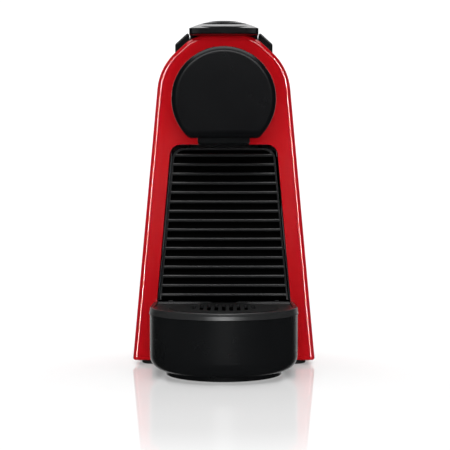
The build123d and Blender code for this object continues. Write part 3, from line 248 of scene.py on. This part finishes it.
def ramp(tree, factor, low, high, start=NOISE_LOW, end=NOISE_HIGH):
    node = tree.nodes.new("ShaderNodeValToRGB")
    node.color_ramp.elements[0].position = start
    node.color_ramp.elements[1].position = end
    node.color_ramp.elements[0].color = (*low, 1)
    node.color_ramp.elements[1].color = (*high, 1)
    tree.links.new(factor, node.inputs["Fac"])
    return node.outputs["Color"]


def spread(tree, factor, low, high, start=NOISE_LOW, end=NOISE_HIGH):
    node = tree.nodes.new("ShaderNodeMapRange")
    node.inputs["From Min"].default_value = start
    node.inputs["From Max"].default_value = end
    node.inputs["To Min"].default_value = low
    node.inputs["To Max"].default_value = high
    tree.links.new(factor, node.inputs["Value"])
    return node.outputs["Result"]


def bump(tree, shader, height, distance):
    node = tree.nodes.new("ShaderNodeBump")
    node.inputs["Distance"].default_value = distance
    tree.links.new(height, node.inputs["Height"])
    tree.links.new(node.outputs["Normal"], shader.inputs["Normal"])


def facing_depth(tree, near, far):
    """0 at the object's foremost part, 1 behind a few millimetres, along its own Y."""
    coords = tree.nodes.new("ShaderNodeTexCoord")
    split = tree.nodes.new("ShaderNodeSeparateXYZ")
    tree.links.new(coords.outputs["Object"], split.inputs[0])
    return spread(tree, split.outputs["Y"], 0.0, 1.0, near, far)


# ---------------------------------------------------------------- kinds of material
def plastic(name, dark, light, roughness, grain, depth, specular=0.5):
    """Moulded plastic: a slight cloud in the colour, smears in the gloss and a grain in the surface."""
    material, tree, shader = new_material(name)
    tree.links.new(ramp(tree, noise(tree, CLOUDS, detail=3), dark, light), shader.inputs["Base Color"])
    tree.links.new(spread(tree, noise(tree, SMEARS, detail=5), *roughness), shader.inputs["Roughness"])
    shader.inputs["Specular IOR Level"].default_value = specular
    bump(tree, shader, noise(tree, grain, detail=2), depth)
    return material


def ribbed_plastic(name, nose, valley_painted_shade, roughness, specular):
    """Black plastic: polished on the rib noses, dull between the ribs, with the colour darkened there as
    painted shade.
    """
    material, tree, shader = new_material(name)
    depth = facing_depth(tree, RIB_FRONT_Y + RIB_POLISH, RIB_FRONT_Y + RIB_SHADE)
    # painted shade: the colour darkens from the rib noses back into the gaps between the ribs, where shade
    # falls
    tree.links.new(ramp(tree, depth, nose, valley_painted_shade, 0.0, 1.0), shader.inputs["Base Color"])
    tree.links.new(spread(tree, depth, *roughness, 0.0, 1.0), shader.inputs["Roughness"])
    tree.links.new(spread(tree, depth, *specular, 0.0, 1.0), shader.inputs["Specular IOR Level"])
    bump(tree, shader, noise(tree, RIB_GRAIN, detail=2), 4 * MICRON)
    return material


def metal(name, tint, roughness, scratches=900):
    """Metal with a slight cloud in the colour, a changing gloss and fine scratches."""
    material, tree, shader = new_material(name)
    shader.inputs["Metallic"].default_value = 1.0
    dark = tuple(c * METAL_DARK for c in tint)
    tree.links.new(ramp(tree, noise(tree, WORN_SPOTS, detail=4), dark, tint), shader.inputs["Base Color"])
    tree.links.new(spread(tree, noise(tree, scratches, detail=3), *roughness), shader.inputs["Roughness"])
    bump(tree, shader, noise(tree, scratches, detail=2), 10 * MICRON)
    return material


def clear_plastic(name, tint, roughness):
    """See-through plastic with a slight cloud, smears and a ripple from the mould."""
    material, tree, shader = new_material(name)
    dark = tuple(c * CLEAR_DARK for c in tint)
    tree.links.new(ramp(tree, noise(tree, TANK_CLOUDS, detail=2), dark, tint), shader.inputs["Base Color"])
    tree.links.new(spread(tree, noise(tree, TANK_SMEARS, detail=4), *roughness), shader.inputs["Roughness"])
    shader.inputs["Transmission Weight"].default_value = CLEAR_TRANSMISSION
    shader.inputs["IOR"].default_value = CLEAR_IOR
    bump(tree, shader, noise(tree, TANK_RIPPLES, detail=2), 10 * MICRON)
    return material


def paint_nodes(material, *names):
    for name in names:
        slots = nodes[name].data.materials
        slots.clear()
        slots.append(material)


# ---------------------------------------------------------------- materials of the outside
def paint_casing():
    red = plastic("red_gloss_plastic", dark=(0.46, 0.004, 0.008), light=(0.49, 0.005, 0.009),
                  roughness=(0.05, 0.07), grain=90, depth=0.4 * MICRON)
    paint_nodes(red, "main_shell")


def paint_head():
    head = plastic("black_head_plastic", dark=(0.0026, 0.0028, 0.0033), light=(0.0036, 0.0038, 0.0043),
                   roughness=(0.24, 0.28), grain=2600, depth=3 * MICRON, specular=0.22)
    paint_nodes(head, "head_cover")


def paint_satin_parts():
    satin = plastic("black_satin_plastic", dark=(0.004, 0.0045, 0.005), light=(0.006, 0.0065, 0.007),
                    roughness=(0.25, 0.28), grain=3000, depth=4 * MICRON, specular=0.38)
    paint_nodes(satin, "head_housing", "coffee_outlet", "drip_base", "tank_lid")


def paint_gloss_parts():
    gloss = plastic("black_gloss_plastic", dark=(0.0030, 0.0033, 0.0038), light=(0.0042, 0.0045, 0.0050),
                    roughness=(0.13, 0.17), grain=2600, depth=2 * MICRON)
    paint_nodes(gloss, "lever", "top_cover", "button_short", "button_long")


def paint_cup_plate():
    plate = plastic("black_plate_plastic", dark=(0.018, 0.0185, 0.019), light=(0.023, 0.0235, 0.024),
                    roughness=(0.30, 0.34), grain=2600, depth=4 * MICRON, specular=0.42)
    paint_nodes(plate, "cup_support", "drip_grid")


def paint_container():
    # the valley colour is painted shade down between the ribs
    ribs = ribbed_plastic("black_ribbed_plastic_painted_shade", nose=(0.013, 0.0135, 0.014),
                          valley_painted_shade=(0.0006, 0.0006, 0.0006), roughness=(0.24, 0.60), specular=(0.60, 0.04))
    paint_nodes(ribs, "capsule_container")


def paint_tank():
    smoked = clear_plastic("smoked_clear_plastic", tint=(0.30, 0.31, 0.33), roughness=(0.05, 0.09))
    paint_nodes(smoked, "water_tank")


def paint_matte_parts():
    matte = plastic("black_matte_plastic", dark=(0.006, 0.006, 0.006), light=(0.011, 0.011, 0.011),
                    roughness=(0.5, 0.62), grain=2200, depth=20 * MICRON)
    paint_nodes(matte, "rear_cover", "tank_shelf", "base_plate", "capsule_funnel", "drip_tray", "tank_socket",
                "cord_gland", "board_components")


# ---------------------------------------------------------------- materials of the inside
def paint_inner_plastics():
    grey = plastic("grey_nylon", dark=(0.10, 0.10, 0.105), light=(0.15, 0.15, 0.155),
                   roughness=(0.4, 0.55), grain=1500, depth=20 * MICRON)
    white = plastic("white_nylon", dark=(0.62, 0.62, 0.58), light=(0.72, 0.72, 0.69),
                    roughness=(0.35, 0.5), grain=1500, depth=10 * MICRON)
    green = plastic("board_laminate", dark=(0.006, 0.06, 0.02), light=(0.012, 0.10, 0.035),
                    roughness=(0.25, 0.4), grain=1800, depth=10 * MICRON)
    paint_nodes(grey, "brew_frame", "capsule_cage", "tank_valve_body", "tank_valve_plunger", "pump_body",
                "flow_meter_body", "toggle_links")
    paint_nodes(white, "flow_meter_rotor", "tank_filter", "button_switches")
    paint_nodes(green, "button_board", "control_board")


def paint_rubber_and_hoses():
    rubber = plastic("black_rubber", dark=(0.010, 0.010, 0.010), light=(0.018, 0.018, 0.018),
                     roughness=(0.7, 0.85), grain=1800, depth=30 * MICRON)
    silicone = plastic("clear_silicone", dark=(0.55, 0.55, 0.52), light=(0.66, 0.66, 0.63),
                       roughness=(0.3, 0.42), grain=900, depth=10 * MICRON)
    paint_nodes(rubber, "feet", "cage_seal", "socket_seal", "pump_mounts")
    paint_nodes(silicone, "hose_tank_to_meter", "hose_meter_to_pump", "hose_pump_to_heater",
                "hose_heater_to_feed")


def paint_metals():
    copper = plastic("coil_winding", dark=(0.16, 0.035, 0.012), light=(0.26, 0.07, 0.02),
                     roughness=(0.25, 0.4), grain=900, depth=40 * MICRON)
    steel = metal("drawn_steel", tint=(0.56, 0.56, 0.57), roughness=(0.22, 0.36))
    bright = metal("spring_steel", tint=(0.66, 0.66, 0.67), roughness=(0.12, 0.22))
    cast = metal("cast_aluminium", tint=(0.66, 0.66, 0.67), roughness=(0.4, 0.6), scratches=500)
    brass = metal("brass", tint=(0.72, 0.48, 0.20), roughness=(0.2, 0.32))
    paint_nodes(copper, "pump_coil")
    paint_nodes(steel, "lever_axle", "crank_pin", "link_pins", "piercing_plate", "extraction_plate",
                "pump_armature", "thermoblock_bracket", "heating_element")
    paint_nodes(bright, "button_spring_short", "button_spring_long", "tank_valve_spring", "pump_spring",
                "base_screws", "frame_screws")
    paint_nodes(cast, "thermoblock", "thermal_cutouts")
    paint_nodes(brass, "feed_tube")


# ---------------------------------------------------------------- floor
def floor_material():
    """Pale and glossy round the machine, plain white further off."""
    material, tree, shader = new_material("pale_floor")
    clouds = ramp(tree, noise(tree, FLOOR_CLOUDS, detail=3), FLOOR_DARK, FLOOR_LIGHT)
    smears = spread(tree, noise(tree, FLOOR_SMEARS, detail=3), *FLOOR_ROUGHNESS)
    tree.links.new(clouds, shader.inputs["Base Color"])
    tree.links.new(smears, shader.inputs["Roughness"])
    shader.inputs["Specular IOR Level"].default_value = FLOOR_SPECULAR
    shader.inputs["Emission Color"].default_value = (1, 1, 1, 1)
    shader.inputs["Emission Strength"].default_value = FLOOR_GLOW
    coords = tree.nodes.new("ShaderNodeTexCoord")
    centre = tree.nodes.new("ShaderNodeVectorMath")
    centre.operation = "DISTANCE"
    centre.inputs[1].default_value = SHEEN_CENTRE
    reach = tree.nodes.new("ShaderNodeMapRange")
    reach.interpolation_type = "SMOOTHSTEP"
    reach.inputs["From Min"].default_value = SHEEN_RADIUS
    reach.inputs["From Max"].default_value = SHEEN_END
    far = tree.nodes.new("ShaderNodeEmission")
    far.inputs["Strength"].default_value = FAR_FLOOR_GLOW
    blend = tree.nodes.new("ShaderNodeMixShader")
    out = tree.nodes["Material Output"]
    tree.links.new(coords.outputs["Object"], centre.inputs[0])
    tree.links.new(centre.outputs["Value"], reach.inputs["Value"])
    tree.links.new(reach.outputs["Result"], blend.inputs["Fac"])
    tree.links.new(shader.outputs[0], blend.inputs[1])
    tree.links.new(far.outputs[0], blend.inputs[2])
    tree.links.new(blend.outputs[0], out.inputs["Surface"])
    return material


def make_floor():
    bpy.ops.mesh.primitive_plane_add(size=FLOOR_SIZE, location=(0, 0, FLOOR_Z))
    floor = bpy.context.object
    floor.name = "studio_floor"
    floor.data.materials.append(floor_material())
    floor.visible_glossy = False
    floor.visible_shadow = False


bpy.context.scene.view_settings.view_transform = "Standard"
make_camera()
make_world()
make_lights()
make_paired_lights()
make_side_lights()
make_floor()
paint_casing()
paint_head()
paint_satin_parts()
paint_gloss_parts()
paint_cup_plate()
paint_container()
paint_tank()
paint_matte_parts()
paint_inner_plastics()
paint_rubber_and_hoses()
paint_metals()
